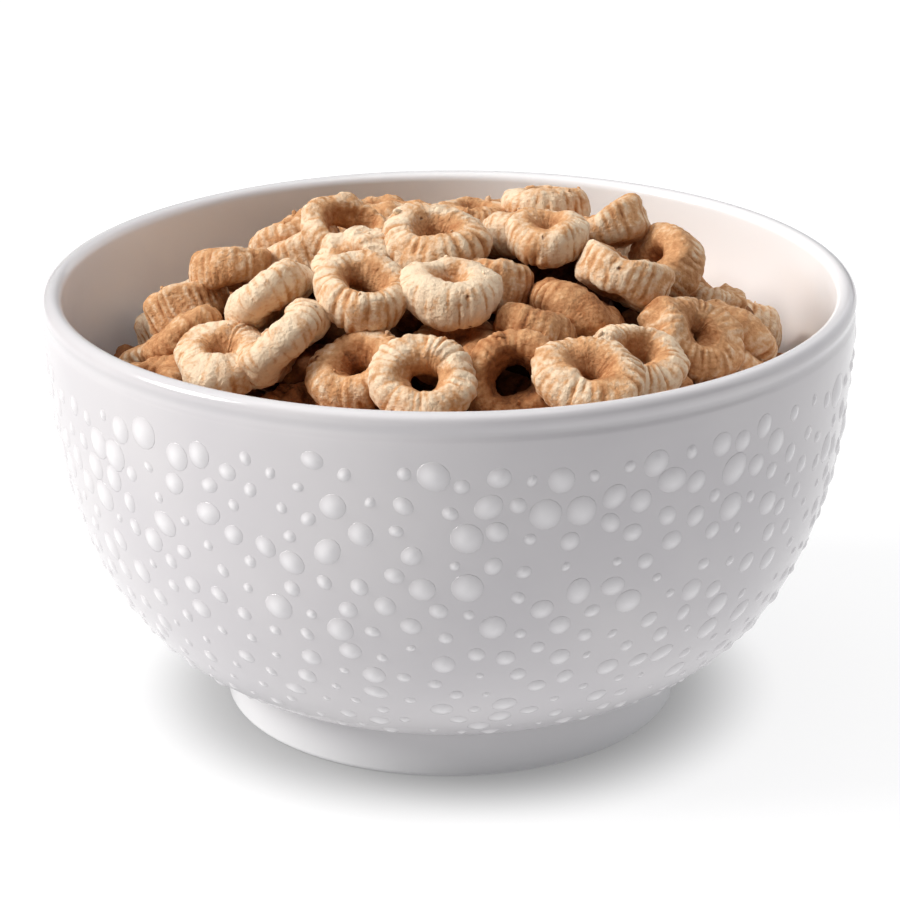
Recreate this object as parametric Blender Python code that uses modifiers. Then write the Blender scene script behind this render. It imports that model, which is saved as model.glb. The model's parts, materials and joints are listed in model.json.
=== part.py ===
"""A small footed porcelain bowl heaped with toasted oat rings: two solids that nest.

bowl         one turned pot: bulging belly, rolled brim with a shallow neck under it, foot ring
cereal_heap  everything in the bowl, from its floor up to the uneven outline of the heaped rings

Metres, +Z up. The origin is on the bowl's axis, at the level that the foot stands on.
"""

import math
import random

import bmesh
import bpy
from mathutils import Vector

# Bowl
BRIM_RADIUS = 0.0575
BOWL_HEIGHT = 0.0626
BRIM_WALL = 0.0028
FLOOR_LEVEL = 0.0085
BELLY_SQUARENESS = 4.0
BELLY_FULLNESS = 2.3
BELLY_END_LEVEL = 0.0040
NECK_DROP = 0.0027
NECK_DEPTH = 0.0003
SHOULDER_DROP = 0.0041
TURN_STEPS = 60

# Foot ring
FOOT_RADIUS = 0.0331
FOOT_HEIGHT = 0.0067
FOOT_RIM_WIDTH = 0.0032
FOOT_EDGE = 0.0007
RECESS_DEPTH = 0.0032
RECESS_TAPER = 0.0012

# Heap of cereal
HEAP_GAP = 0.0007
WALL_DROP = 0.0150
PEAK_RISE = 0.0115
MOUND_SINK = 0.65
MOUND_TOP_STEPS = 6
RING_OUTER = 0.0140
RING_HEIGHT = 0.0060
RING_COUNT = 38
RING_SIDES = 10
RING_LEAN = math.radians(14)
HEAP_SEED = 7

GOLDEN_ANGLE = math.pi * (3 - math.sqrt(5))
MERGE = 0.00005


def clear_scene():
    for thing in list(bpy.data.objects):
        bpy.data.objects.remove(thing)


def new_collection(name):
    made = bpy.data.collections.new(name)
    bpy.context.scene.collection.children.link(made)
    return made


def plain_material(name, colour, roughness):
    material = bpy.data.materials.new(name)
    material.use_nodes = True
    shader = material.node_tree.nodes["Principled BSDF"]
    shader.inputs["Base Color"].default_value = (*colour, 1)
    shader.inputs["Roughness"].default_value = roughness
    shader.inputs["Metallic"].default_value = 0
    return material


def belly_radius(level, widest, end_level):
    """Radius of the belly at a level: a squarish oval, upright at the brim and closing at end_level."""
    sunk = (BOWL_HEIGHT - level) / (BOWL_HEIGHT - end_level)
    left = max(0.0, 1 - sunk**BELLY_FULLNESS)
    return widest * left ** (1 / BELLY_SQUARENESS)


def inside_radius(level):
    return belly_radius(level, BRIM_RADIUS - BRIM_WALL, FLOOR_LEVEL)


def outside_radius(level):
    return belly_radius(level, BRIM_RADIUS, BELLY_END_LEVEL)


def eased_levels(low, high, count):
    """Levels from low to high, closer together near low, where the wall curves most."""
    return [low + (high - low) * (step / count) ** 1.8 for step in range(1, count + 1)]


def bowl_profile():
    """(radius, level) pairs from the middle of the floor, over the brim, down the outside, under the foot."""
    lip = BRIM_WALL / 2
    inside = [(inside_radius(z), z) for z in eased_levels(FLOOR_LEVEL, BOWL_HEIGHT - lip, 11)]
    brim = []
    for step in range(1, 7):
        turn = math.pi * step / 6
        brim.append((BRIM_RADIUS - lip - lip * math.cos(turn), BOWL_HEIGHT - lip + lip * math.sin(turn)))
    neck_level = BOWL_HEIGHT - NECK_DROP
    neck = [(outside_radius(neck_level) - NECK_DEPTH, neck_level)]
    levels = eased_levels(FOOT_HEIGHT, BOWL_HEIGHT - SHOULDER_DROP, 8)
    outside = [(outside_radius(z), z) for z in reversed(levels)]
    foot_inner = FOOT_RADIUS - FOOT_RIM_WIDTH
    foot = [
        (FOOT_RADIUS, FOOT_HEIGHT),
        (FOOT_RADIUS, FOOT_EDGE),
        (FOOT_RADIUS - FOOT_EDGE, 0),
        (foot_inner, 0),
        (foot_inner - RECESS_TAPER, RECESS_DEPTH),
        (0, RECESS_DEPTH),
    ]
    return [(0, FLOOR_LEVEL)] + inside + brim + neck + outside + foot


def turned(name, profile, steps, collection):
    """A solid of revolution about Z, its profile drawn at +X and swept round by a Screw modifier."""
    outline = bmesh.new()
    points = [outline.verts.new((radius, 0, level)) for radius, level in profile]
    for first, second in zip(points, points[1:]):
        outline.edges.new((first, second))
    mesh = bpy.data.meshes.new(name)
    outline.to_mesh(mesh)
    outline.free()
    thing = bpy.data.objects.new(name, mesh)
    collection.objects.link(thing)
    sweep = thing.modifiers.new("turn", "SCREW")
    sweep.axis = "Z"
    sweep.angle = 2 * math.pi
    sweep.steps = steps
    sweep.render_steps = steps
    sweep.use_merge_vertices = True
    sweep.merge_threshold = MERGE
    sweep.use_smooth_shade = True
    return thing


def make_bowl(collection):
    bowl = turned("bowl", bowl_profile(), TURN_STEPS, collection)
    bowl.data.materials.append(plain_material("glazed_porcelain", (0.86, 0.86, 0.86), 0.15))
    return bowl


def heap_level(radius):
    """Level that the highest rings reach at a distance from the axis."""
    edge_level = BOWL_HEIGHT - WALL_DROP
    top_level = BOWL_HEIGHT + PEAK_RISE
    share = radius / inside_radius(edge_level)
    return top_level + (edge_level - top_level) * share**2


def mound_profile():
    """(radius, level) pairs of the packed cereal under the top rings: over its top, down the wall, to the floor."""
    edge_level = BOWL_HEIGHT - WALL_DROP
    edge_radius = inside_radius(edge_level) - HEAP_GAP
    top = []
    for step in range(MOUND_TOP_STEPS + 1):
        radius = edge_radius * step / MOUND_TOP_STEPS
        top.append((radius, heap_level(radius) - RING_HEIGHT * MOUND_SINK))
    wall = []
    for level in reversed(eased_levels(FLOOR_LEVEL, top[-1][1], 7)[:-1]):
        wall.append((inside_radius(level) - HEAP_GAP, level + HEAP_GAP))
    return top + wall + [(0, FLOOR_LEVEL + HEAP_GAP)]


def lay_ring(number, draw, collection):
    """One oat ring on the mound, leaning with its slope and a little its own way."""
    reach = inside_radius(BOWL_HEIGHT - WALL_DROP - RING_HEIGHT) - RING_OUTER / 2 - HEAP_GAP
    radius = reach * math.sqrt((number + 0.5) / RING_COUNT)
    angle = number * GOLDEN_ANGLE
    body = RING_OUTER / 5
    bpy.ops.mesh.primitive_torus_add(
        major_radius=RING_OUTER / 2 - body,
        minor_radius=body,
        major_segments=RING_SIDES,
        minor_segments=RING_SIDES // 2,
    )
    ring = bpy.context.object
    ring.name = f"ring_{number:02d}"
    ring.scale.z = RING_HEIGHT / 2 / body
    step = RING_OUTER / 2
    slope = (heap_level(radius + step) - heap_level(abs(radius - step))) / (radius + step - abs(radius - step))
    level = heap_level(radius) - RING_HEIGHT / 2 - draw.uniform(0, RING_HEIGHT / 4)
    ring.location = (radius * math.cos(angle), radius * math.sin(angle), level)
    uphill = Vector((-slope * math.cos(angle), -slope * math.sin(angle), 1))
    own = Vector((draw.uniform(-1, 1), draw.uniform(-1, 1), 0)) * math.tan(RING_LEAN)
    ring.rotation_euler = (uphill + own).to_track_quat("Z", "Y").to_euler()
    for owner in list(ring.users_collection):
        owner.objects.unlink(ring)
    collection.objects.link(ring)
    ring.hide_render = True
    ring.display_type = "WIRE"


def make_heap(collection, helpers):
    """The mound with the top rings joined to it, one solid out to their uneven outline."""
    heap = turned("cereal_heap", mound_profile(), TURN_STEPS, collection)
    draw = random.Random(HEAP_SEED)
    for number in range(RING_COUNT):
        lay_ring(number, draw, helpers)
    join = heap.modifiers.new("top_rings", "BOOLEAN")
    join.operation = "UNION"
    join.solver = "EXACT"
    join.operand_type = "COLLECTION"
    join.collection = helpers
    heap.data.materials.append(plain_material("toasted_oat", (0.62, 0.42, 0.25), 0.8))
    return heap


def main():
    clear_scene()
    make_bowl(new_collection("bowl_of_cereal"))
    make_heap(bpy.data.collections["bowl_of_cereal"], new_collection("heap_rings"))


main()
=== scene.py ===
"""Looks for a white porcelain bowl with raised dots, heaped with toasted oat rings.

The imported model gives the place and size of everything. The bowl is turned again with a finer wall and
real raised dots, and the plain heap gives way to loose oat rings lying over a smaller core of crumbs.
"""

import json
import math
import random

import bmesh
import bpy
import numpy as np
from mathutils import Matrix, Vector

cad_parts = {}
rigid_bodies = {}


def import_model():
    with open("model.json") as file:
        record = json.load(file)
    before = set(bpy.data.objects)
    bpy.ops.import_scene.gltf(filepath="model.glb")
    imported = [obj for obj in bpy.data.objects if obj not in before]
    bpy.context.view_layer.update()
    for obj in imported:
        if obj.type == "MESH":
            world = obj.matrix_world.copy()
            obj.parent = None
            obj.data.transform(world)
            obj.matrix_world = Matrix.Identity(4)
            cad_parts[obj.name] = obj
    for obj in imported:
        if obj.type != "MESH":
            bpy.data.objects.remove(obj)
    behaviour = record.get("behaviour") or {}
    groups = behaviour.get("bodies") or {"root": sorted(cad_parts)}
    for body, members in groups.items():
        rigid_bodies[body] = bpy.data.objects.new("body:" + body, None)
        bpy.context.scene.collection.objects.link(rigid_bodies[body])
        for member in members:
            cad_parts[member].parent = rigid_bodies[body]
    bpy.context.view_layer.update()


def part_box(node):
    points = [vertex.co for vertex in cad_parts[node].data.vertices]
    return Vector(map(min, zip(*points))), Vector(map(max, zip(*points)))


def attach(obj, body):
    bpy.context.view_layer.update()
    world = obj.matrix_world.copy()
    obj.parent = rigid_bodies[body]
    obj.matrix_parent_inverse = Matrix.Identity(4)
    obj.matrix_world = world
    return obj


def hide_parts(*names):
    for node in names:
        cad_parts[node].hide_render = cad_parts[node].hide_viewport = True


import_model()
scene = bpy.context.scene

# Camera
# A short telephoto at eye height over a table: it looks 21 degrees down on the bowl, from seven and a
# half brim radii away, so that the brim is an open oval and the heap shows above its front edge.

bowl_low, bowl_high = (Vector(corner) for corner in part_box("bowl"))
brim_radius = (bowl_high.x - bowl_low.x) / 2
brim_level = bowl_high.z

look_down = math.radians(20.83)
camera_roll = math.radians(-0.29)
camera_distance = 7.5 * brim_radius
look_at = Vector((0, 0, 0.63 * brim_radius))

camera_data = bpy.data.cameras.new("table_camera")
camera_data.lens = 118.8
camera_data.sensor_width = 36
camera_data.clip_start = 0.01
camera = bpy.data.objects.new("table_camera", camera_data)
scene.collection.objects.link(camera)
turned_to_bowl = Matrix.Rotation(math.pi / 2 - look_down, 4, "X") @ Matrix.Rotation(camera_roll, 4, "Z")
back_off = Vector((0, -math.cos(look_down), math.sin(look_down))) * camera_distance
camera.matrix_world = Matrix.Translation(look_at + back_off) @ turned_to_bowl
scene.camera = camera

# Studio
# A white light table under soft daylight: a broad key light from the left, a broad bank overhead, a weaker
# fill from behind at the right and dim light from all round. The table's glow keeps its shadow faint, and a
# painted shadow dims that glow round the bowl's foot.


def hex_colour(text):
    """An sRGB hex colour as the linear RGBA that shaders take."""
    channels = [int(text[start : start + 2], 16) / 255 for start in (1, 3, 5)]
    linear = [c / 12.92 if c <= 0.04045 else ((c + 0.055) / 1.055) ** 2.4 for c in channels]
    return (*linear, 1)


def add_node(tree, kind, sockets=None, **settings):
    """Adds a node, sets its settings, and fills or links its inputs by name or number."""
    node = tree.nodes.new(kind)
    for name, value in settings.items():
        setattr(node, name, value)
    for name, value in (sockets or {}).items():
        if isinstance(value, bpy.types.NodeSocket):
            tree.links.new(value, node.inputs[name])
        else:
            node.inputs[name].default_value = value
    return node


def new_material(name):
    """An empty node material: its tree, with a Principled shader linked to the output."""
    material = bpy.data.materials.new(name)
    material.use_nodes = True
    material.node_tree.nodes.clear()
    shader = add_node(material.node_tree, "ShaderNodeBsdfPrincipled")
    add_node(material.node_tree, "ShaderNodeOutputMaterial", {"Surface": shader.outputs[0]})
    return material, material.node_tree, shader


def lit_acrylic():
    """Opal white acrylic of a light table, lit from beneath by a tray of lamps: matt, with a trace of mottle,
    and its glow dimmed round the middle, about the bowl's foot, as a painted shadow."""
    material, tree, shader = new_material("opal_white_acrylic")
    place = add_node(tree, "ShaderNodeTexCoord")
    cloudy = {"Vector": place.outputs["Object"], "Scale": 40.0, "Detail": 2.0}
    mottle = add_node(tree, "ShaderNodeTexNoise", cloudy)
    tint = add_node(
        tree,
        "ShaderNodeMix",
        {0: mottle.outputs["Fac"], 6: hex_colour("#828283"), 7: hex_colour("#868687")},
        data_type="RGBA",
    )
    tree.links.new(tint.outputs[2], shader.inputs["Base Color"])
    shader.inputs["Roughness"].default_value = 0.9
    shader.inputs["Specular IOR Level"].default_value = 0.1
    # Painted shadow: the glow falls from 0.81 at 50 mm out to 0.24 at 31 mm, a painted contact shadow round the
    # foot.
    away = add_node(tree, "ShaderNodeVectorMath", {0: place.outputs["Object"]}, operation="LENGTH")
    painted_shadow_ramp = {"Value": away.outputs["Value"], "From Min": 0.031, "From Max": 0.050, "To Min": 0.24}
    painted_shadow_ramp["To Max"] = 0.81
    glow_with_painted_shadow = add_node(tree, "ShaderNodeMapRange", painted_shadow_ramp, interpolation_type="SMOOTHSTEP")
    shader.inputs["Emission Color"].default_value = hex_colour("#FFFFFF")
    tree.links.new(glow_with_painted_shadow.outputs[0], shader.inputs["Emission Strength"])
    return material


floor_half = 30 * brim_radius
floor_mesh = bpy.data.meshes.new("light_table")
floor_corners = [(-floor_half, -floor_half, 0), (floor_half, -floor_half, 0), (floor_half, floor_half, 0)]
floor_corners.append((-floor_half, floor_half, 0))
floor_mesh.from_pydata(floor_corners, [], [(0, 1, 2, 3)])
floor_mesh.materials.append(lit_acrylic())
light_table = bpy.data.objects.new("light_table", floor_mesh)
scene.collection.objects.link(light_table)


def soft_sun(name, clock, height, strength, spread, colour):
    """A sun lamp that comes from a clock angle about +Z, counted from +X, at a height above the floor."""
    lamp_data = bpy.data.lights.new(name, "SUN")
    lamp_data.energy = strength
    lamp_data.angle = math.radians(spread)
    lamp_data.color = hex_colour(colour)[:3]
    lamp = bpy.data.objects.new(name, lamp_data)
    scene.collection.objects.link(lamp)
    clock, height = math.radians(clock), math.radians(height)
    level = math.cos(height)
    towards = Vector((math.cos(clock) * level, math.sin(clock) * level, math.sin(height)))
    lamp.rotation_euler = towards.to_track_quat("Z", "Y").to_euler()


soft_sun("key_window", clock=186, height=33, strength=3.2, spread=26, colour="#FFFDFA")
soft_sun("overhead_bank", clock=200, height=80, strength=1.55, spread=60, colour="#FFFFFF")
soft_sun("white_wall_right", clock=35, height=24, strength=0.95, spread=70, colour="#FBFCFF")

world = bpy.data.worlds.new("dim_room")
world.use_nodes = True
world.node_tree.nodes["Background"].inputs["Color"].default_value = hex_colour("#FBF7FA")
world.node_tree.nodes["Background"].inputs["Strength"].default_value = 0.08
scene.world = world
scene.view_settings.view_transform = "Standard"

# Bowl
# One pot of white porcelain, thrown or jiggered on a wheel and fired under a clear glossy glaze: an upright
# belly that rounds in to a foot ring, and a rolled brim set off from the belly by a shallow neck.

MM = 0.001
wall = 2.8 * MM
inside_floor = 8.5 * MM
belly_end = 4.0 * MM
foot_radius = 0.576 * brim_radius
foot_height = 6.7 * MM
foot_rim = 3.2 * MM
recess_depth = 3.2 * MM
neck_depth = 0.25 * MM
shoulder_drop = 4.0 * MM


def belly_radius(level, widest, end_level):
    """Radius of the belly at a level: a squarish oval, upright at the brim and closing at end_level."""
    sunk = np.clip((brim_level - level) / (brim_level - end_level), 0, 1)
    return widest * (1 - sunk**2.3) ** 0.25


def inside_radius(level):
    return belly_radius(level, brim_radius - wall, inside_floor)


def outside_radius(level):
    return belly_radius(level, brim_radius, belly_end)


def eased(low, high, count, power=1.8):
    """Levels from low to high, closer together near low, where the wall curves most."""
    return [low + (high - low) * (step / count) ** power for step in range(1, count + 1)]


def arc(middle, radius, start, end, count):
    """(radius, level) pairs along an arc of the profile, angles in degrees from +X."""
    angles = [math.radians(start + (end - start) * step / count) for step in range(count + 1)]
    return [(middle[0] + radius * math.cos(a), middle[1] + radius * math.sin(a)) for a in angles]


lip = wall / 2
inside_run = [(float(inside_radius(z)), z) for z in eased(inside_floor, brim_level - lip, 34)]
brim_run = arc((brim_radius - lip, brim_level - lip), lip, 180, 0, 14)[1:]
neck_levels = [brim_level - lip - (shoulder_drop - lip) * step / 9 for step in range(1, 9)]
neck_run = []
for level in neck_levels:
    share = (brim_level - lip - level) / (shoulder_drop - lip)
    dip = neck_depth * math.sin(math.pi * share) ** 2
    neck_run.append((float(outside_radius(level)) - dip, level))
belly_levels = eased(foot_height + 0.5 * MM, brim_level - shoulder_drop, 44)[::-1]
belly_run = [(float(outside_radius(z)), z) for z in belly_levels]
fillet = 0.9 * MM
crease_run = arc((foot_radius + fillet, foot_height - 0.3 * MM), fillet, 110, 180, 5)
foot_inner = foot_radius - foot_rim
foot_run = arc((foot_radius - 0.8 * MM, 0.8 * MM), 0.8 * MM, 0, -90, 5)
foot_run += arc((foot_inner + 0.5 * MM, 0.5 * MM), 0.5 * MM, -90, -180, 4)
foot_run += [(foot_inner - 1.2 * MM, recess_depth), (foot_inner - 6 * MM, recess_depth), (0, recess_depth)]
bowl_outline = [(0, inside_floor)] + inside_run + brim_run + neck_run + belly_run + crease_run + foot_run


def turned_mesh(name, outline, steps):
    """A mesh of revolution about Z, its outline swept round by a Screw modifier that is then applied."""
    drawn = bpy.data.meshes.new(name)
    corners = [(radius, 0, level) for radius, level in outline]
    drawn.from_pydata(corners, [(n, n + 1) for n in range(len(corners) - 1)], [])
    blank = bpy.data.objects.new(name, drawn)
    scene.collection.objects.link(blank)
    sweep = blank.modifiers.new("turn", "SCREW")
    sweep.steps = sweep.render_steps = steps
    sweep.use_merge_vertices = True
    sweep.merge_threshold = 0.00002
    sweep.use_smooth_shade = True
    result = bpy.data.meshes.new_from_object(blank.evaluated_get(bpy.context.evaluated_depsgraph_get()))
    bpy.data.objects.remove(blank)
    result.name = name
    return result


def glazed_porcelain(name, body, deep, painted_light_white, slip_and_painted_highlight):
    """White porcelain under a clear fired glaze: glossy and smooth, slightly wavy where the glaze has run and a
    little greyer where it pools.
    It is whiter and cooler inside and on the foot, which is painted light, and paler over the raised dots, most
    at each dot's top, which is partly white slip and partly painted highlight."""
    material, tree, shader = new_material(name)
    place = add_node(tree, "ShaderNodeTexCoord").outputs["Object"]
    pool = add_node(tree, "ShaderNodeTexNoise", {"Vector": place, "Scale": 45.0, "Detail": 3.0})
    pooled = {"Value": pool.outputs["Fac"], "From Min": 0.35, "From Max": 0.65}
    share = add_node(tree, "ShaderNodeMapRange", pooled).outputs[0]
    sockets = {0: share, 6: hex_colour(body), 7: hex_colour(deep)}
    coat = add_node(tree, "ShaderNodeMix", sockets, data_type="RGBA").outputs[2]
    for label, tone in (("inside", painted_light_white), ("dome", slip_and_painted_highlight)):
        share = add_node(tree, "ShaderNodeAttribute", attribute_name=label).outputs["Fac"]
        sockets = {0: share, 6: coat, 7: hex_colour(tone)}
        coat = add_node(tree, "ShaderNodeMix", sockets, data_type="RGBA").outputs[2]
    ripple = add_node(tree, "ShaderNodeTexNoise", {"Vector": place, "Scale": 160.0, "Detail": 1.0})
    sockets = {"Height": ripple.outputs["Fac"], "Strength": 0.06, "Distance": 0.0004}
    waves = add_node(tree, "ShaderNodeBump", sockets)
    tree.links.new(coat, shader.inputs["Base Color"])
    tree.links.new(waves.outputs[0], shader.inputs["Normal"])
    shader.inputs["Roughness"].default_value = 0.16
    shader.inputs["IOR"].default_value = 1.5
    return material


bowl = bpy.data.objects.new("glazed_bowl", turned_mesh("glazed_bowl", bowl_outline, 224))
scene.collection.objects.link(bowl)
porcelain = glazed_porcelain("clear_glazed_porcelain", "#CFCCCE", "#C9C6C9", "#F1F1F3", "#E4E2E4")
bowl.data.materials.append(porcelain)
bowl_points = np.array([point.co for point in bowl.data.vertices])
# Painted light: the inside and the foot take the whiter inner colour, which stands for light that brightens
# them.
from_outside = outside_radius(bowl_points[:, 2]) - np.hypot(bowl_points[:, 0], bowl_points[:, 1])
painted_light_share = np.clip(from_outside / wall, 0, 1) * (bowl_points[:, 2] > inside_floor - 1 * MM)
painted_light_share = np.maximum(painted_light_share, np.clip((foot_height - bowl_points[:, 2]) / MM, 0, 1))
painted_light_layer = bowl.data.attributes.new("inside", "FLOAT", "POINT")
painted_light_layer.data.foreach_set("value", painted_light_share)
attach(bowl, "root")
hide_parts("bowl")

# Raised dots
# Beads of white slip trailed on to the leather-hard belly before glazing, each a low soft dome from one to
# five and a half millimetres across, larger towards the brim and smaller towards the foot. Their paler colour,
# strongest at each dome's top, is partly the slip and partly painted highlight.

dot_lift = 0.42 * MM
dot_top_level = brim_level - 6.0 * MM
dot_low_level = foot_height + 3.0 * MM


def dot_blank():
    """A flat round lens of radius 1, whose points carry how high each stands on the dome."""
    rings = [0.3, 0.55, 0.75, 0.9, 1.0]
    sides = 14
    points, lifts, faces = [(0, 0, 0)], [1.0], []
    for share in rings:
        for side in range(sides):
            turn = 2 * math.pi * side / sides
            points.append((share * math.cos(turn), share * math.sin(turn), 0))
            lifts.append((1 - share**2) ** 1.8 if share < 1 else -0.04)
    points.append((0, 0, 0))
    lifts.append(-0.6)
    for side in range(sides):
        after = (side + 1) % sides
        faces.append((0, 1 + side, 1 + after))
        for ring in range(len(rings) - 1):
            first = 1 + ring * sides
            faces.append((first + side, first + sides + side, first + sides + after, first + after))
        outer = 1 + (len(rings) - 1) * sides
        faces.append((outer + after, outer + side, len(points) - 1))
    mesh = bpy.data.meshes.new("dot_blank")
    mesh.from_pydata(points, [], faces)
    lift = mesh.attributes.new("lift", "FLOAT", "POINT")
    lift.data.foreach_set("value", lifts)
    # The dome value pales each dot most at its top: partly white slip, partly painted highlight.
    dome = mesh.attributes.new("dome", "FLOAT", "POINT")
    dome.data.foreach_set("value", [max(0, lift) ** 0.8 for lift in lifts])
    mesh.shade_smooth()
    blank = bpy.data.objects.new("dot_blank", mesh)
    scene.collection.objects.link(blank)
    return blank


def new_tree(name, inputs):
    """A Geometry Nodes tree with the named inputs, each (name, socket kind)."""
    tree = bpy.data.node_groups.new(name, "GeometryNodeTree")
    tree.interface.new_socket("Geometry", in_out="INPUT", socket_type="NodeSocketGeometry")
    for label, kind in inputs:
        tree.interface.new_socket(label, in_out="INPUT", socket_type=kind)
    tree.interface.new_socket("Geometry", in_out="OUTPUT", socket_type="NodeSocketGeometry")
    return tree, tree.nodes.new("NodeGroupInput").outputs


def finish_tree(tree, geometry, material):
    """Realize Instances and Set Material, the end of every tree."""
    solid = add_node(tree, "GeometryNodeRealizeInstances", {"Geometry": geometry})
    painted = add_node(tree, "GeometryNodeSetMaterial", {"Geometry": solid.outputs[0], "Material": material})
    add_node(tree, "NodeGroupOutput", {0: painted.outputs[0]})


def grown(name, source_mesh, tree, values):
    """Runs a tree on a mesh with values for its named inputs, and returns the outcome as a plain object."""
    carrier = bpy.data.objects.new(name, source_mesh)
    scene.collection.objects.link(carrier)
    modifier = carrier.modifiers.new(name, "NODES")
    modifier.node_group = tree
    for item in tree.interface.items_tree:
        if item.in_out == "INPUT" and item.name in values:
            modifier[item.identifier] = values[item.name]
    graph = bpy.context.evaluated_depsgraph_get()
    result = bpy.data.meshes.new_from_object(carrier.evaluated_get(graph))
    bpy.data.objects.remove(carrier)
    result.name = name
    piece = bpy.data.objects.new(name, result)
    scene.collection.objects.link(piece)
    return piece


def dots_tree(material):
    """Spreads dots over the belly, then presses each one on to the wall, domed by its lift."""
    tree, given = new_tree(
        "slip_trailed_dots",
        [
            ("Dot", "NodeSocketObject"),
            ("Spacing", "NodeSocketFloat"),
            ("Crowding", "NodeSocketFloat"),
            ("Smallest", "NodeSocketFloat"),
            ("Largest", "NodeSocketFloat"),
            ("Lift", "NodeSocketFloat"),
            ("Low Level", "NodeSocketFloat"),
            ("High Level", "NodeSocketFloat"),
            ("Seed", "NodeSocketInt"),
        ],
    )
    place = add_node(tree, "GeometryNodeInputPosition").outputs[0]
    level = add_node(tree, "ShaderNodeSeparateXYZ", {0: place}).outputs["Z"]
    spread = add_node(
        tree,
        "GeometryNodeDistributePointsOnFaces",
        {"Mesh": given["Geometry"], "Distance Min": given["Spacing"], "Density Max": given["Crowding"]},
        distribute_method="POISSON",
    )
    tree.links.new(given["Seed"], spread.inputs["Seed"])
    up_the_wall = {"Value": level, "From Min": given["Low Level"], "From Max": given["High Level"]}
    height = add_node(tree, "ShaderNodeMapRange", {**up_the_wall, "To Min": 0.62, "To Max": 1.0})
    thin_out = add_node(tree, "ShaderNodeMapRange", {**up_the_wall, "To Min": 1.0, "To Max": 0.96})
    above = add_node(tree, "ShaderNodeMath", {0: level, 1: given["Low Level"]}, operation="GREATER_THAN")
    below = add_node(tree, "ShaderNodeMath", {0: level, 1: given["High Level"]}, operation="LESS_THAN")
    band = add_node(tree, "ShaderNodeMath", {0: above.outputs[0], 1: below.outputs[0]}, operation="MULTIPLY")
    sockets = {0: band.outputs[0], 1: thin_out.outputs[0]}
    chance = add_node(tree, "ShaderNodeMath", sockets, operation="MULTIPLY")
    tree.links.new(chance.outputs[0], spread.inputs["Density Factor"])
    sockets = {"Seed": given["Seed"], 2: 0.0, 3: 1.0}
    pick = add_node(tree, "FunctionNodeRandomValue", sockets, data_type="FLOAT")
    skewed = add_node(tree, "ShaderNodeMath", {0: pick.outputs[1], 1: 1.3}, operation="POWER")
    radius = add_node(
        tree,
        "ShaderNodeMapRange",
        {"Value": skewed.outputs[0], "To Min": given["Smallest"], "To Max": given["Largest"]},
    )
    sockets = {0: radius.outputs[0], 1: height.outputs[0]}
    sized = add_node(tree, "ShaderNodeMath", sockets, operation="MULTIPLY")
    oval = add_node(tree, "FunctionNodeRandomValue", {"Seed": 5, 2: 0.78, 3: 1.1}, data_type="FLOAT")
    other = add_node(tree, "ShaderNodeMath", {0: sized.outputs[0], 1: oval.outputs[1]}, operation="MULTIPLY")
    scale = add_node(
        tree, "ShaderNodeCombineXYZ", {0: sized.outputs[0], 1: other.outputs[0], 2: sized.outputs[0]}
    )
    turn = add_node(tree, "FunctionNodeRandomValue", {"Seed": 9, 2: 0.0, 3: 6.283}, data_type="FLOAT")
    spin = add_node(tree, "ShaderNodeCombineXYZ", {2: turn.outputs[1]})
    turned = add_node(
        tree,
        "FunctionNodeRotateRotation",
        {0: spread.outputs["Rotation"], 1: spin.outputs[0]},
        rotation_space="LOCAL",
    )
    kept = add_node(
        tree,
        "GeometryNodeStoreNamedAttribute",
        {"Geometry": spread.outputs["Points"], "Name": "dot_size", "Value": sized.outputs[0]},
        data_type="FLOAT",
        domain="POINT",
    )
    blank = add_node(tree, "GeometryNodeObjectInfo", {"Object": given["Dot"]})
    laid = add_node(
        tree,
        "GeometryNodeInstanceOnPoints",
        {
            "Points": kept.outputs[0],
            "Instance": blank.outputs["Geometry"],
            "Rotation": turned.outputs[0],
            "Scale": scale.outputs[0],
        },
    )
    loose = add_node(tree, "GeometryNodeRealizeInstances", {"Geometry": laid.outputs[0]})
    on_wall = add_node(tree, "GeometryNodeProximity", {"Geometry": given["Geometry"]}, target_element="FACES")
    normal = add_node(tree, "GeometryNodeInputNormal")
    outward = add_node(
        tree,
        "GeometryNodeSampleNearestSurface",
        {"Mesh": given["Geometry"], "Value": normal.outputs[0]},
        data_type="FLOAT_VECTOR",
    )
    lift = add_node(tree, "GeometryNodeInputNamedAttribute", {"Name": "lift"}, data_type="FLOAT")
    size = add_node(tree, "GeometryNodeInputNamedAttribute", {"Name": "dot_size"}, data_type="FLOAT")
    steep = add_node(
        tree, "ShaderNodeMath", {0: size.outputs[0], 1: given["Largest"]}, operation="DIVIDE"
    )
    steeper = add_node(tree, "ShaderNodeMath", {0: steep.outputs[0], 1: 0.5}, operation="POWER")
    raised = add_node(tree, "ShaderNodeMath", {0: lift.outputs[0], 1: given["Lift"]}, operation="MULTIPLY")
    sockets = {0: raised.outputs[0], 1: steeper.outputs[0]}
    own = add_node(tree, "ShaderNodeMath", sockets, operation="MULTIPLY")
    pushed = add_node(
        tree, "ShaderNodeVectorMath", {0: outward.outputs[0], "Scale": own.outputs[0]}, operation="SCALE"
    )
    stood = add_node(
        tree, "ShaderNodeVectorMath", {0: on_wall.outputs["Position"], 1: pushed.outputs[0]}, operation="ADD"
    )
    pressed = add_node(
        tree, "GeometryNodeSetPosition", {"Geometry": loose.outputs[0], "Position": stood.outputs[0]}
    )
    smooth = add_node(tree, "GeometryNodeSetShadeSmooth", {0: pressed.outputs[0]})
    finish_tree(tree, smooth.outputs[0], material)
    return tree


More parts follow.
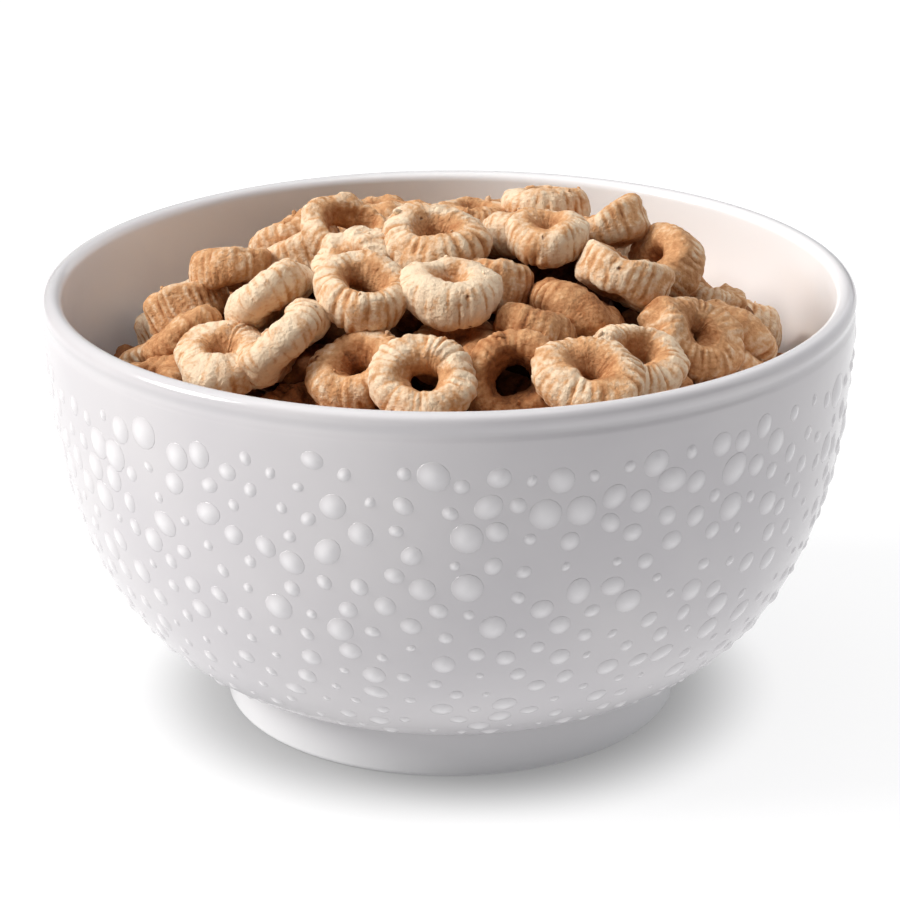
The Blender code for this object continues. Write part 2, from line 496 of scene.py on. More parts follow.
dotted_levels = eased(foot_height + 0.5 * MM, brim_level - shoulder_drop, 60)[::-1]
dotted_wall = turned_mesh("dotted_wall", [(float(outside_radius(z)), z) for z in dotted_levels], 224)
blank_dot = dot_blank()
dots = grown(
    "raised_dots",
    dotted_wall,
    dots_tree(porcelain),
    {
        "Dot": blank_dot,
        "Spacing": 3.7 * MM,
        "Crowding": 500000.0,
        "Smallest": 0.85 * MM,
        "Largest": 2.7 * MM,
        "Lift": dot_lift,
        "Low Level": dot_low_level,
        "High Level": dot_top_level,
        "Seed": 11,
    },
)
bpy.data.objects.remove(blank_dot)
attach(dots, "root")
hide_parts("bowl")

# Packed cereal under the top layers
# The cereal that no one sees from outside: one solid of broken rings and dust, two rings' height below the
# top of the heap, and painted dark, a painted shadow for the little light that gets down between the rings.

heap_top = Vector(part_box("cereal_heap")[1]).z - brim_level
wall_contact = -15.0 * MM
ring_across = 14.0 * MM
core_depth = 13.0 * MM


def heap_level(radius):
    """Level that the highest rings reach at a distance from the axis."""
    reach = float(inside_radius(brim_level + wall_contact))
    return brim_level + heap_top + (wall_contact - heap_top) * (radius / reach) ** 2


def wavy(points, wavelength, seed, waves=20):
    """A smooth random field through the points: a sum of waves of about one length in every direction."""
    draw = np.random.default_rng(seed)
    directions = draw.normal(size=(waves, 3))
    directions /= np.linalg.norm(directions, axis=1)[:, None]
    numbers = 2 * math.pi / wavelength * draw.uniform(0.7, 1.4, waves)
    phases = draw.uniform(0, 2 * math.pi, waves)
    return np.sin(points @ (directions * numbers[:, None]).T + phases).sum(axis=1) / math.sqrt(waves / 2)


def toasted_oat(name, pale, tan, brown, dark):
    """Baked puffed oat dough: dull, dry and fine-grained, tan between the die's ridges and browner wherever a
    ring toasted longer. The cream on the ridges is painted highlight, and the brown in the grooves and in the
    hole is
    painted shade. The sizes are real: flecks of 0.6 mm, mottling of 1.6 and blotches of 5, over a grain of 0.5
    to 1.4."""
    material, tree, shader = new_material(name)
    place = add_node(tree, "ShaderNodeTexCoord").outputs["Object"]
    parts = []
    # The groove value is painted shade in the grooves and painted highlight on the crests, the hole value is
    # painted shade in the hole, and the toast value is partly painted shade.
    for label, middle, weight in (("toast", 0.0, 0.62), ("groove", 0.15, 0.38), ("hollow", 0.0, 0.36)):
        stored = add_node(tree, "ShaderNodeAttribute", attribute_name=label)
        parts.append((stored.outputs["Fac"], middle, weight))
    # Blotches, mottling and flecks: size, detail, roughness and weight
    for size, detail, rough, weight in (
        (5.0 * MM, 2.0, 0.5, 0.75),
        (1.6 * MM, 3.0, 0.6, 0.75),
        (0.6 * MM, 2.0, 0.5, 0.50),
    ):
        sockets = {"Vector": place, "Scale": 1 / size, "Detail": detail, "Roughness": rough}
        mottle = add_node(tree, "ShaderNodeTexNoise", sockets)
        parts.append((mottle.outputs["Fac"], 0.5, weight))
    tone = 0.0
    for value, middle, weight in parts:
        sockets = {0: value, 1: weight, 2: -middle * weight}
        term = add_node(tree, "ShaderNodeMath", sockets, operation="MULTIPLY_ADD").outputs[0]
        tone = add_node(tree, "ShaderNodeMath", {0: tone, 1: term}, operation="ADD").outputs[0]
    crust = add_node(tree, "ShaderNodeValToRGB", {"Fac": tone})
    ramp = crust.color_ramp.elements
    ramp[0].position, ramp[0].color = 0.0, hex_colour(pale)
    ramp[1].position, ramp[1].color = 1.0, hex_colour(dark)
    for position, colour in ((0.32, tan), (0.68, brown)):
        stop = ramp.new(position)
        stop.color = hex_colour(colour)
    bent = add_node(tree, "ShaderNodeTexNoise", {"Vector": place, "Scale": 1 / (1.2 * MM), "Detail": 1.0})
    sockets = {0: bent.outputs["Color"], "Scale": 0.9 * MM}
    bending = add_node(tree, "ShaderNodeVectorMath", sockets, operation="SCALE")
    crooked = add_node(tree, "ShaderNodeVectorMath", {0: place, 1: bending.outputs[0]}, operation="ADD")
    # Pits: rare cells are dented and painted dark brown, a painted shade in each pit.
    cells = add_node(tree, "ShaderNodeTexVoronoi", {"Vector": crooked.outputs[0], "Scale": 1 / (3.4 * MM)})
    sockets = {"Value": cells.outputs["Distance"], "From Min": 0.05, "From Max": 0.12, "To Min": 1.0}
    near = add_node(tree, "ShaderNodeMapRange", {**sockets, "To Max": 0.0})
    chosen = add_node(tree, "ShaderNodeSeparateColor", {0: cells.outputs["Color"]})
    rare = add_node(tree, "ShaderNodeMath", {0: chosen.outputs[0], 1: 0.88}, operation="GREATER_THAN")
    pit = add_node(tree, "ShaderNodeMath", {0: near.outputs[0], 1: rare.outputs[0]}, operation="MULTIPLY")
    pit_painted_shade = add_node(
        tree,
        "ShaderNodeMix",
        {0: pit.outputs[0], 6: crust.outputs[0], 7: hex_colour("#7A4826")},
        data_type="RGBA",
    )
    tree.links.new(pit_painted_shade.outputs[2], shader.inputs["Base Color"])
    grain = 0.0
    for size, detail, rough in ((0.5 * MM, 3.0, 0.6), (1.4 * MM, 2.0, 0.5)):
        sockets = {"Vector": place, "Scale": 1 / size, "Detail": detail, "Roughness": rough}
        grit = add_node(tree, "ShaderNodeTexNoise", sockets)
        sockets = {0: grain, 1: grit.outputs["Fac"]}
        grain = add_node(tree, "ShaderNodeMath", sockets, operation="ADD").outputs[0]
    dented = add_node(tree, "ShaderNodeMath", {0: grain, 1: pit.outputs[0]}, operation="SUBTRACT")
    rough_skin = add_node(
        tree, "ShaderNodeBump", {"Height": dented.outputs[0], "Strength": 0.85, "Distance": 0.34 * MM}
    )
    tree.links.new(rough_skin.outputs[0], shader.inputs["Normal"])
    shader.inputs["Roughness"].default_value = 0.78
    shader.inputs["Specular IOR Level"].default_value = 0.3
    return material


def core_outline():
    """(radius, level) pairs of the core: over its top, down the wall, across the floor."""
    reach = float(inside_radius(brim_level + wall_contact)) - 1.0 * MM
    top = [(reach * step / 26, heap_level(reach * step / 26) - core_depth) for step in range(27)]
    levels = eased(inside_floor, top[-1][1], 8)[:-1][::-1]
    side = [(float(inside_radius(z)) - 0.6 * MM, z + 0.5 * MM) for z in levels]
    return top + side + [(0, inside_floor + 0.5 * MM)]


core_mesh = turned_mesh("packed_cereal_core", core_outline(), 120)
core_points = np.empty(len(core_mesh.vertices) * 3, dtype=np.float32)
core_mesh.vertices.foreach_get("co", core_points)
core_points = core_points.reshape(-1, 3)
away = np.hypot(core_points[:, 0], core_points[:, 1])
on_top = core_points[:, 2] > brim_level + wall_contact - core_depth + 0.2 * MM
inward = np.clip((float(inside_radius(brim_level + wall_contact)) - away) / (8 * MM), 0, 1)
bumps = wavy(core_points, 6 * MM, 3) * 1.0 * MM + wavy(core_points, 2.6 * MM, 4) * 0.45 * MM
core_points[:, 2] += np.where(on_top, bumps * inward, 0)
core_mesh.vertices.foreach_set("co", core_points.ravel())
# The core's very dark crust colours are painted shadow.
core_mesh.materials.append(toasted_oat("toasted_oat_crumb", "#5A331A", "#472814", "#341A0C", "#241006"))
core = bpy.data.objects.new("packed_cereal_core", core_mesh)
scene.collection.objects.link(core)
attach(core, "root")
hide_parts("cereal_heap")

# Oat rings
# Rings of puffed oat dough, cut from an extruder's ribbed die and baked: about 14 mm across and 6 mm high,
# ribbed round the outside, with a funnel of a hole that has puckered as it dried. No two are alike.


def pair_rows(start, count, rows):
    """Quads between closed rows of points, the last row joined back to the first."""
    row, column = np.meshgrid(np.arange(rows), np.arange(count), indexing="ij")
    after_row, after_column = (row + 1) % rows, (column + 1) % count
    corners = (row * count + column, row * count + after_column, after_row * count + after_column)
    return start + np.stack([*corners, after_row * count + column], axis=-1).reshape(-1, 4)


def ring_form(
    name, seed, outer, hole, funnel, height, squareness,
    ridge_depth, pucker, lump, rib_reach, oval=0.05, ridges=27, across=26,
):
    """One oat ring about the origin, its axis along Z. Round its section, squareness 2 is an oval and 4 is a
    block, and funnel widens the hole towards the top. The die's ribs are crests with narrow grooves between
    them, patchy and fading over the top as far in as rib_reach: -0.2 keeps them to the side."""
    draw = np.random.default_rng(seed)
    widths = 1 + draw.uniform(-0.3, 0.3, ridges)
    starts = np.concatenate([[0], np.cumsum(widths)])[:-1] / widths.sum()
    parts = np.array([0.0, 0.25, 0.5, 0.75])
    around = 2 * math.pi * (starts[:, None] + parts * (widths / widths.sum())[:, None]).ravel()
    rib = np.tile([0.0, 0.66, 1.0, 0.66], ridges)
    depths = np.repeat(draw.uniform(0.35, 1.2, ridges), 4)
    puckers = np.repeat(draw.uniform(-1, 1, ridges), 4)
    section = 2 * math.pi * np.arange(across) / across
    turn, roll = np.meshgrid(around, section, indexing="xy")
    out, up = np.cos(roll), np.sin(roll)
    power = 2 / squareness
    out_share = np.sign(out) * np.abs(out) ** power
    up_share = np.sign(up) * np.abs(up) ** power
    sway = [draw.uniform(0, 2 * math.pi) for _ in range(6)]
    rim = outer * (1 + oval * np.cos(2 * turn + sway[0]) + 0.35 * oval * np.cos(3 * turn + sway[1]))
    eye = hole * (1 + 0.13 * np.cos(2 * turn + sway[2]) + 0.08 * np.cos(3 * turn + sway[3]))
    tall = height / 2 * (1 + 0.10 * np.cos(turn + sway[4]) + 0.07 * np.cos(2 * turn + sway[5]))
    mouth = funnel * np.clip(up_share + 0.25, 0, None) ** 1.3 * np.clip(-out_share, 0, 1)
    bare_radius = (rim + eye) / 2 + (rim - eye) / 2 * out_share + mouth
    bare = np.stack([bare_radius * np.cos(turn), bare_radius * np.sin(turn), tall * up_share], axis=-1)
    patches = wavy(bare.reshape(-1, 3), 4.0 * MM, seed + 70).reshape(turn.shape)
    patchy = np.clip(0.72 + 0.42 * patches, 0.1, 1.35)
    outward = np.clip((out + rib_reach) / 0.8, 0, 1)
    inward = np.clip((0.25 - out) / 1.1, 0, 1)
    groove = (1 - rib) * depths * outward * patchy
    wrinkle = puckers * (rib - 0.5) * inward
    skin = -ridge_depth * groove - pucker * wrinkle
    radius = bare_radius + skin * out_share
    level = tall * up_share + skin * up_share
    points = np.stack([radius * np.cos(turn), radius * np.sin(turn), level], axis=-1).reshape(-1, 3)
    puff = wavy(points, 5.0 * MM, seed + 50) * lump + wavy(points, 1.9 * MM, seed + 90) * lump * 0.34
    puff += wavy(points, 1.15 * MM, seed + 95) * 0.045 * MM
    normal = np.stack([out * np.cos(turn), out * np.sin(turn), up], axis=-1).reshape(-1, 3)
    points += normal * puff[:, None]
    bend = 0.5 * MM * draw.uniform(0.3, 1.2)
    spread = np.arctan2(points[:, 1], points[:, 0])
    points[:, 2] += bend * np.cos(2 * spread + sway[0]) * (np.hypot(points[:, 0], points[:, 1]) / outer) ** 2
    mesh = bpy.data.meshes.new(name)
    mesh.from_pydata(points.tolist(), [], pair_rows(0, 4 * ridges, across).tolist())
    # Painted light: the groove value darkens the grooves as painted shade and lightens the crests as painted
    # highlight, and the hole value darkens the hole as painted shade.
    strength = min(1, ridge_depth / (0.26 * MM))
    painted_groove_shade = strength * (groove - 0.4 * outward * rib * patchy)
    for label, values in (("groove", painted_groove_shade), ("hollow", inward**1.5)):
        kept = mesh.attributes.new(label, "FLOAT", "POINT")
        kept.data.foreach_set("value", values.ravel())
    mesh.shade_smooth()
    return mesh


def collected(name, meshes):
    """The forms of one kind in a collection of their own, for a tree to pick from."""
    collection = bpy.data.collections.new(name)
    for mesh in meshes:
        collection.objects.link(bpy.data.objects.new(mesh.name, mesh))
    return collection


def kind_forms(kind, count, first_seed, across=26, ridges=26, **sizes):
    """A few rings of one kind, each with its own seed and its own small change of size."""
    meshes = []
    for number in range(count):
        draw = random.Random(first_seed + number)
        own = dict(sizes)
        own["hole"] *= draw.uniform(0.8, 1.2)
        own["height"] *= draw.uniform(0.94, 1.06)
        own["ridge_depth"] *= draw.uniform(0.7, 1.3)
        own["rib_reach"] += draw.uniform(-0.25, 0.25)
        own.update(across=across, ridges=ridges)
        meshes.append(ring_form(f"{kind}_{number}", first_seed + number, ring_across / 2, **own))
    return collected(kind, meshes)


ring_kinds = {
    "round": kind_forms(
        "round", 7, 100, hole=0.8 * MM, funnel=1.1 * MM, height=5.8 * MM, squareness=2.35,
        ridge_depth=0.26 * MM, pucker=0.13 * MM, lump=0.15 * MM, rib_reach=0.0,
    ),
    "wide": kind_forms(
        "wide", 5, 700, hole=1.9 * MM, funnel=0.6 * MM, height=5.9 * MM, squareness=2.15,
        ridge_depth=0.26 * MM, pucker=0.14 * MM, lump=0.14 * MM, rib_reach=0.5,
    ),
    "drum": kind_forms(
        "drum", 5, 200, hole=1.9 * MM, funnel=0.5 * MM, height=6.6 * MM, squareness=3.3,
        ridge_depth=0.38 * MM, pucker=0.14 * MM, lump=0.13 * MM, rib_reach=-0.1,
    ),
    "open": kind_forms(
        "open", 4, 300, hole=2.5 * MM, funnel=0.7 * MM, height=6.0 * MM, squareness=2.5,
        ridge_depth=0.20 * MM, pucker=0.16 * MM, lump=0.18 * MM, rib_reach=0.2, oval=0.09,
    ),
    "smooth": kind_forms(
        "smooth", 4, 600, hole=0.6 * MM, funnel=1.0 * MM, height=5.7 * MM, squareness=2.15,
        ridge_depth=0.17 * MM, pucker=0.20 * MM, lump=0.17 * MM, rib_reach=0.4, oval=0.07,
    ),
    "lumpy": kind_forms(
        "lumpy", 5, 400, hole=0.5 * MM, funnel=1.0 * MM, height=5.6 * MM, squareness=2.2,
        ridge_depth=0.16 * MM, pucker=0.26 * MM, lump=0.32 * MM, rib_reach=0.3, oval=0.10,
    ),
    "buried": kind_forms(
        "buried", 4, 500, across=12, ridges=14, hole=1.6 * MM, funnel=0.8 * MM, height=6.0 * MM, squareness=2.4,
        ridge_depth=0.30 * MM, pucker=0.2 * MM, lump=0.15 * MM, rib_reach=0.2,
    ),
}
form_counts = {kind: len(forms.objects) for kind, forms in ring_kinds.items()}

# How the rings lie
# The rings that face the table's edge are laid one by one, as a food stylist would with tweezers. The rest are
# dropped at random over the mound, and then all are nudged apart, so that few still cut into each other.

# kind, across, right, back, above the brim (mm), lean, the way it leans (degrees: 0 right, 90 back), toast;
# the toast is partly each ring's own and partly painted shade, darker for rings that lie in shade
hand_laid = [
    ("wide", 14.0, -3.5, -35.0, -3.0, 40, 265, 0.25),
    ("round", 13.5, 0.0, -22.0, 5.0, 10, 270, 0.05),
    ("wide", 15.0, -2.0, -9.0, 7.5, 15, 260, 0.35),
    ("round", 12.0, 13.5, -5.0, 8.0, 10, 265, 0.35),
    ("round", 12.5, 10.5, 3.0, 6.0, 15, 120, 0.25),
    ("round", 12.5, 14.0, 9.5, 6.5, 10, 90, 0.30),
    ("round", 11.5, 3.5, 10.0, 5.0, 10, 60, 0.45),
    ("drum", 12.5, 22.0, 2.5, 6.0, 30, 135, 0.45),
    ("drum", 12.5, 24.0, -12.0, 3.5, 30, 40, 0.40),
    ("drum", 12.5, 30.0, -3.0, 2.0, 50, 205, 0.55),
    ("smooth", 15.5, 17.5, -17.5, -0.5, 35, 30, 1.00),
    ("round", 12.0, 11.5, -25.0, -0.5, 30, 50, 0.80),
    ("wide", 14.0, 8.5, -30.5, -4.0, 65, 270, 0.85),
    ("round", 14.5, 18.0, -35.0, -2.5, 20, 285, 0.40),
    ("wide", 13.5, 25.0, -24.0, -4.0, 25, 300, 0.20),
    ("lumpy", 14.0, 33.5, -15.5, -4.0, 40, 310, 0.60),
    ("lumpy", 10.5, 36.5, -3.0, -3.5, 25, 30, 0.40),
    ("smooth", 12.5, 40.0, -9.0, -5.5, 40, 30, 0.60),
    ("round", 11.5, 39.5, -14.0, -8.5, 45, 20, 0.55),
    ("lumpy", 11.0, 39.0, -22.0, -11.0, 30, 300, 0.75),
    ("round", 12.0, 29.0, -29.5, -9.0, 20, 300, 0.75),
    ("round", 12.5, 0.5, -28.0, -2.5, 15, 270, 0.80),
    ("drum", 12.0, 6.0, -12.5, 2.5, 20, 75, 0.55),
    ("wide", 13.5, -11.5, -19.5, 4.5, 20, 290, 0.30),
    ("lumpy", 12.5, -13.0, -9.0, 5.0, 30, 230, 0.15),
    ("open", 12.5, -14.5, -1.0, 6.0, 30, 300, 0.35),
    ("drum", 11.5, -20.5, -1.0, 3.5, 30, 150, 0.35),
    ("drum", 12.5, -30.5, -1.5, 1.0, 20, 100, 0.60),
    ("drum", 12.0, -37.0, 0.0, -3.5, 35, 140, 0.55),
    ("smooth", 12.5, -37.0, -14.0, -5.5, 35, 145, 0.75),
    ("round", 10.5, -42.0, -3.0, -11.0, 40, 150, 0.55),
    ("lumpy", 12.0, -41.0, -17.0, -9.5, 25, 230, 0.65),
    ("smooth", 14.5, -24.5, -15.5, 2.0, 40, 150, 0.20),
    ("smooth", 14.0, -30.5, -23.0, -4.0, 15, 255, 0.20),
    ("smooth", 14.5, -22.5, -25.0, -1.5, 45, 160, 0.20),
    ("round", 13.5, -12.0, -31.0, -4.0, 35, 240, 0.50),
    ("round", 12.0, -15.0, -38.0, -10.5, 10, 260, 1.00),
    ("round", 13.0, -9.0, -41.5, -10.0, 15, 250, 0.80),
    ("round", 12.5, 13.0, -41.5, -10.0, 10, 280, 0.70),
    ("lumpy", 12.0, -19.0, -31.0, -10.0, 20, 250, 1.00),
]
# Rows of the list that are baked together
fused = {(33, 34)}
drop_spacing = 10.2 * MM
drop_depth = 6.4 * MM
hand_laid_band = (-38 * MM, 11 * MM)
buried_spacing = 9.2 * MM
buried_depth = 10.8 * MM
wall_row = 41 * MM
wall_row_drop = 6.0 * MM
back_fall = 0.13
slope_reach = 0.053


def leaning(lean, towards, spin):
    """The turn of a ring that leans one way, after a spin about its own axis."""
    lean, towards, spin = math.radians(lean), math.radians(towards), math.radians(spin)
    tilt = Matrix.Rotation(lean, 3, Vector((-math.sin(towards), math.cos(towards), 0)))
    return np.array(tilt @ Matrix.Rotation(spin, 3, "Z"))


def scatter(draw, spacing, depth, taken, leave_out=None, tries=2500):
    """Places at random over the mound, each a spacing clear of the last ones and of those taken. Nothing
    falls between the two distances back that leave_out gives, but for a low row along the wall."""
    reach = float(inside_radius(brim_level + wall_contact)) - ring_across / 2
    found = []
    for _ in range(tries):
        radius, clock = reach * math.sqrt(draw.random()), draw.uniform(0, 2 * math.pi)
        back = radius * math.sin(clock)
        low_row = 0
        if leave_out and leave_out[0] < back < leave_out[1]:
            if radius < wall_row:
                continue
            low_row = wall_row_drop
        drop = depth + draw.uniform(-0.8, 0.8) * MM + back_fall * max(0, back) + low_row
        spot = np.array([radius * math.cos(clock), back, heap_level(radius) - drop])
        if all(np.linalg.norm(spot - other) > spacing for other in taken + found):
            found.append(spot)
    return found


draw = random.Random(21)
rings = []
for kind, across, right, back, above, lean, towards, toast in hand_laid:
    spot = np.array([right * MM, back * MM, brim_level + above * MM])
    rings.append((kind, across * MM, spot, leaning(lean, towards, draw.uniform(0, 360)), toast, 0.1))
taken = [ring[2] for ring in rings]
for spot in scatter(draw, drop_spacing, drop_depth, taken, leave_out=hand_laid_band):
    kind = draw.choice(["round", "round", "wide", "wide", "drum", "drum", "lumpy", "open"])
    slope = math.degrees(math.atan(2 * (heap_top - wall_contact) * math.hypot(*spot[:2]) / slope_reach**2))
    outward = math.degrees(math.atan2(spot[1], spot[0]))
    lean = slope * 0.8 + draw.uniform(-8, 18)
    turn = leaning(lean, outward + draw.uniform(-60, 60), draw.uniform(0, 360))
    rings.append((kind, draw.uniform(12.4, 14.8) * MM, spot, turn, draw.uniform(0.1, 0.6), 1.0))
for spot in scatter(draw, buried_spacing, buried_depth, []):
    turn = leaning(draw.uniform(0, 70), draw.uniform(0, 360), draw.uniform(0, 360))
    rings.append(("buried", draw.uniform(12.0, 14.0) * MM, spot, turn, draw.uniform(0.3, 0.9), 1.5))

# Each ring is felt as beads round its middle line, with the beads held in shape by the ring. A listed ring
# keeps its place to the side and up, but slides forwards or back to clear its neighbours.
bead_count = 10
bead_circle_share = 0.62
bead_size_share = 0.38
allowed_lap = 0.25 * MM
wall_gap = 0.2 * MM
near_enough = 24 * MM
hold_in_place = np.array([0.10, 0.01, 0.10])
settling_steps = 240
centres = np.array([ring[2] for ring in rings])
turns = np.array([ring[3] for ring in rings])
spans = np.array([ring[1] for ring in rings]) / 2
looseness = np.array([ring[5] for ring in rings])
held = (looseness < 0.5)[:, None]
wanted_centres, wanted_turns = centres.copy(), turns.copy()
bead_angles = 2 * math.pi * np.arange(bead_count) / bead_count
bead_circle = np.stack([np.cos(bead_angles), np.sin(bead_angles), 0 * bead_angles], axis=-1)
bead_places = bead_circle[None] * (spans * bead_circle_share)[:, None, None]
bead_radius = spans * bead_size_share
pairs = [
    (a, b)
    for a in range(len(rings))
    for b in range(a + 1, len(rings))
    if np.linalg.norm(centres[a] - centres[b]) < near_enough and (a, b) not in fused
]
first, second = np.array(pairs).T
share = looseness[first] / (looseness[first] + looseness[second])
for _ in range(settling_steps):
    beads = centres[:, None] + bead_places @ turns.transpose(0, 2, 1)
    gap = beads[first][:, :, None] - beads[second][:, None]
    apart = np.linalg.norm(gap, axis=-1)
    touching = (bead_radius[first] + bead_radius[second])[:, None, None] - allowed_lap
    lap = np.clip(touching - apart, 0, None)
    push = gap / (apart[..., None] + 1e-9) * (lap * 0.45)[..., None]
    shift = np.zeros_like(beads)
    counts = np.zeros(beads.shape[:2])
    np.add.at(shift, first, push.sum(axis=2) * share[:, None, None])
    np.add.at(shift, second, -push.sum(axis=1) * (1 - share)[:, None, None])
    np.add.at(counts, first, (lap > 0).sum(axis=2))
    np.add.at(counts, second, (lap > 0).sum(axis=1))
    beads = beads + shift / np.maximum(1, counts * 0.5)[..., None]
    away = np.linalg.norm(beads[..., :2], axis=-1)
    room = inside_radius(beads[..., 2]) - bead_radius[:, None] - wall_gap
    beads[..., :2] *= np.minimum(1, room / np.maximum(away, 1e-6))[..., None]
    middles = beads.mean(axis=1)
    loose = beads - middles[:, None]
    shape = loose.transpose(0, 2, 1) @ bead_places
    size = (spans * bead_circle_share) ** 2 * bead_count
    shape = shape + wanted_turns * (size * np.where(held[:, 0], 0.5, 0.05))[:, None, None]
    shape[:, :, 2] += turns[:, :, 2] * size[:, None]
    left, _, right = np.linalg.svd(shape)
    flip = np.sign(np.linalg.det(left @ right))
    left[:, :, 2] *= flip[:, None]
    turns = left @ right
    centres = np.where(held, middles + (wanted_centres - middles) * hold_in_place, middles)


def store(mesh, label, data_type, values):
    """Keeps one value for each point of a mesh under a name."""
    kept = mesh.attributes.new(label, data_type, "POINT")
    word = "vector" if data_type == "FLOAT_VECTOR" else "value"
    kept.data.foreach_set(word, np.array(values, dtype=int if data_type == "INT" else float).ravel())


def laid_points(name, chosen):
    """Loose points for one kind of ring, each with its place, turn, size, form, toast (partly painted shade)
    and own number.
    """
    mesh = bpy.data.meshes.new(name)
    mesh.from_pydata([tuple(centres[n]) for n in chosen], [], [])
    kind = rings[chosen[0]][0]
    picks = [random.Random(900 + n) for n in chosen]
    sizes = [rings[n][1] / ring_across for n in chosen]
    stretch = [(s * p.uniform(0.97, 1.03), s, s * p.uniform(0.98, 1.1)) for s, p in zip(sizes, picks)]
    store(mesh, "turn", "QUATERNION", [Matrix(turns[n].tolist()).to_quaternion() for n in chosen])
    store(mesh, "stretch", "FLOAT_VECTOR", stretch)
    store(mesh, "form", "INT", [p.randrange(form_counts[kind]) for p in picks])
    store(mesh, "toast", "FLOAT", [rings[n][4] for n in chosen])
    store(mesh, "own", "FLOAT_VECTOR", [(p.random(), p.random(), p.random()) for p in picks])
    return mesh


def rings_tree(kind, forms, material):
    """Lays a form of the kind at each point, then pushes the skin about a little, so no two rings match."""
    tree, given = new_tree(
        f"lay_{kind}_rings",
        [("Forms", "NodeSocketCollection"), ("Puff", "NodeSocketFloat"), ("Puff Size", "NodeSocketFloat")],
    )
    kept = {}
    vector = "FLOAT_VECTOR"
    for label, data_type in (("form", "INT"), ("turn", "QUATERNION"), ("stretch", vector), ("own", vector)):
        read = add_node(tree, "GeometryNodeInputNamedAttribute", {"Name": label}, data_type=data_type)
        kept[label] = read.outputs[0]
    picked = add_node(
        tree,
        "GeometryNodeCollectionInfo",
        {"Collection": given["Forms"], "Separate Children": True, "Reset Children": True},
    )
    laid = add_node(
        tree,
        "GeometryNodeInstanceOnPoints",
        {
            "Points": given["Geometry"],
            "Instance": picked.outputs[0],
            "Pick Instance": True,
            "Instance Index": kept["form"],
            "Rotation": kept["turn"],
            "Scale": kept["stretch"],
        },
    )
    solid = add_node(tree, "GeometryNodeRealizeInstances", {"Geometry": laid.outputs[0]})
    place = add_node(tree, "GeometryNodeInputPosition").outputs[0]
    shifted = add_node(tree, "ShaderNodeVectorMath", {0: place, 1: kept["own"]}, operation="ADD")
    inverse = add_node(tree, "ShaderNodeMath", {0: 1.0, 1: given["Puff Size"]}, operation="DIVIDE")
    field = add_node(
        tree, "ShaderNodeTexNoise", {"Vector": shifted.outputs[0], "Scale": inverse.outputs[0], "Detail": 1.5}
    )
    signed = add_node(
        tree, "ShaderNodeVectorMath", {0: field.outputs["Color"], 1: (0.5, 0.5, 0.5)}, operation="SUBTRACT"
    )
    push = add_node(
        tree, "ShaderNodeVectorMath", {0: signed.outputs[0], "Scale": given["Puff"]}, operation="SCALE"
    )
    sockets = {"Geometry": solid.outputs[0], "Offset": push.outputs[0]}
    puffed = add_node(tree, "GeometryNodeSetPosition", sockets)
    finish_tree(tree, puffed.outputs[0], material)
    return tree


crust = toasted_oat("toasted_oat_crust", "#EDD5B7", "#D19E6F", "#A96F43", "#683C1F")
# The buried rings' darker crust is painted shade, for the little light that reaches them.
painted_shade_crust = toasted_oat("toasted_oat_deep", "#A87448", "#8A5630", "#6A3C1E", "#3E2010")
laid_rings = bpy.data.collections.new("laid_rings")
for kind, forms in ring_kinds.items():
    chosen = [n for n, ring in enumerate(rings) if ring[0] == kind]
    carrier = laid_points(f"{kind}_rings", chosen)
    laid = grown(
        f"{kind}_rings",
        carrier,
        rings_tree(kind, forms, painted_shade_crust if kind == "buried" else crust),
        {"Forms": forms, "Puff": 0.8 * MM, "Puff Size": 6.0 * MM},
    )
    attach(laid, "root")
    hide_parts("cereal_heap")
    laid_rings.objects.link(laid)
for forms in ring_kinds.values():
    for blank in list(forms.objects):
        bpy.data.objects.remove(blank)
    bpy.data.collections.remove(forms)

# Crumbs
# Chips and dust knocked off the rings in the packet: dry broken bits from half a millimetre to two across,
# lying where they came to rest, on the rings' upper sides and in the gaps between them.

crumb_shape = bmesh.new()
bmesh.ops.create_icosphere(crumb_shape, subdivisions=2, radius=1)
for corner in crumb_shape.verts:
    broken = wavy(np.array([corner.co]), 2.2, 61)[0] * 0.16 + wavy(np.array([corner.co]), 1.0, 62)[0] * 0.05
    corner.co *= 0.9 + broken
    corner.co.x *= 1.35
    corner.co.z *= 0.7
crumb_mesh = bpy.data.meshes.new("crumb_blank")
crumb_shape.to_mesh(crumb_mesh)
crumb_mesh.shade_smooth()
crumb_shape.free()
laid_rings.objects.link(core)
crumb_blank = bpy.data.objects.new("crumb_blank", crumb_mesh)
scene.collection.objects.link(crumb_blank)


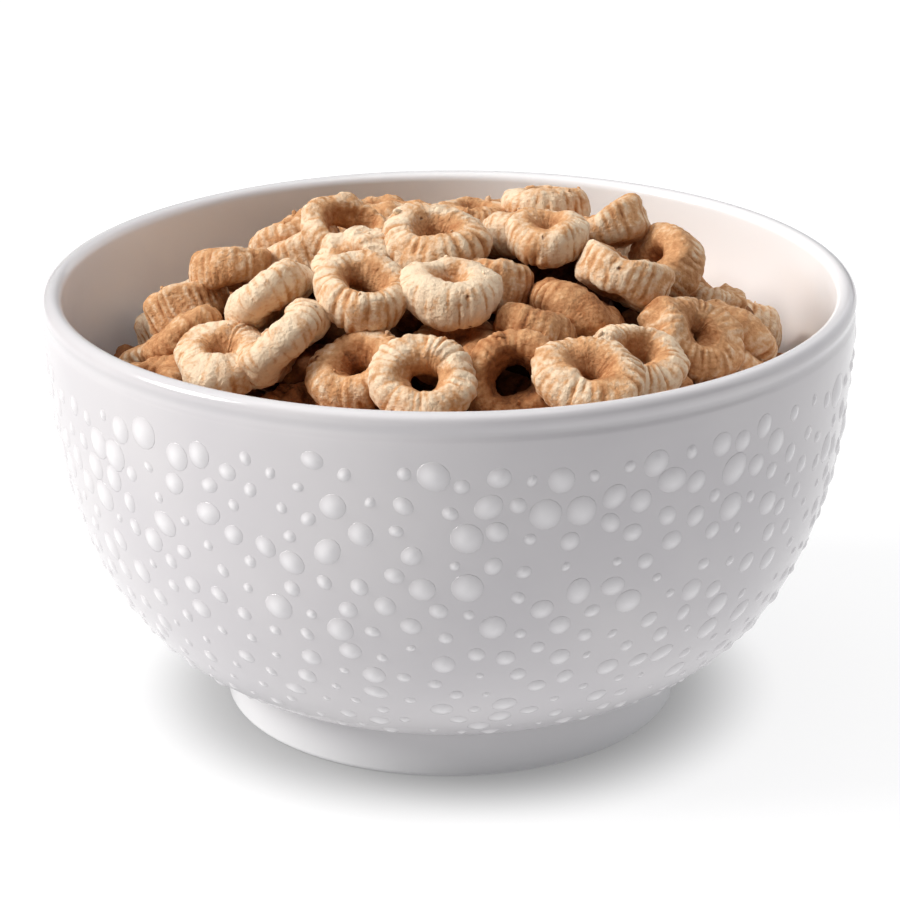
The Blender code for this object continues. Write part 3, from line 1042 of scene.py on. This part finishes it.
def crumbs_tree(material):
    """Drops crumbs on whatever of the rings faces up, each with its own size and turn."""
    tree, given = new_tree(
        "scatter_crumbs",
        [
            ("Rings", "NodeSocketCollection"),
            ("Crumb", "NodeSocketObject"),
            ("Crowding", "NodeSocketFloat"),
            ("Smallest", "NodeSocketFloat"),
            ("Largest", "NodeSocketFloat"),
            ("Seed", "NodeSocketInt"),
        ],
    )
    beds = add_node(tree, "GeometryNodeCollectionInfo", {"Collection": given["Rings"]})
    bed = add_node(tree, "GeometryNodeRealizeInstances", {"Geometry": beds.outputs[0]})
    normal = add_node(tree, "GeometryNodeInputNormal").outputs[0]
    upward = add_node(tree, "ShaderNodeSeparateXYZ", {0: normal}).outputs["Z"]
    flat = add_node(tree, "ShaderNodeMath", {0: upward, 1: 0.75}, operation="GREATER_THAN")
    sockets = {"Mesh": bed.outputs[0], "Selection": flat.outputs[0], "Density": given["Crowding"]}
    sockets["Seed"] = given["Seed"]
    spread = add_node(tree, "GeometryNodeDistributePointsOnFaces", sockets)
    pick = add_node(tree, "FunctionNodeRandomValue", {2: 0.0, 3: 1.0, "Seed": 3}, data_type="FLOAT")
    mostly_small = add_node(tree, "ShaderNodeMath", {0: pick.outputs[1], 1: 2.5}, operation="POWER")
    size = add_node(
        tree,
        "ShaderNodeMapRange",
        {"Value": mostly_small.outputs[0], "To Min": given["Smallest"], "To Max": given["Largest"]},
    )
    sockets = {0: (0, 0, 0), 1: (6.28, 6.28, 6.28), "Seed": 4}
    turn = add_node(tree, "FunctionNodeRandomValue", sockets, data_type="FLOAT_VECTOR")
    blank = add_node(tree, "GeometryNodeObjectInfo", {"Object": given["Crumb"]})
    laid = add_node(
        tree,
        "GeometryNodeInstanceOnPoints",
        {
            "Points": spread.outputs["Points"],
            "Instance": blank.outputs["Geometry"],
            "Rotation": turn.outputs[0],
            "Scale": size.outputs[0],
        },
    )
    finish_tree(tree, laid.outputs[0], material)
    return tree


crumbs = grown(
    "cereal_crumbs",
    bpy.data.meshes.new("no_rings"),
    crumbs_tree(crust),
    {
        "Rings": laid_rings,
        "Crumb": crumb_blank,
        "Crowding": 26000.0,
        "Smallest": 0.22 * MM,
        "Largest": 0.75 * MM,
        "Seed": 8,
    },
)
bpy.data.objects.remove(crumb_blank)
bpy.data.collections.remove(laid_rings)
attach(crumbs, "root")
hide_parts("cereal_heap")
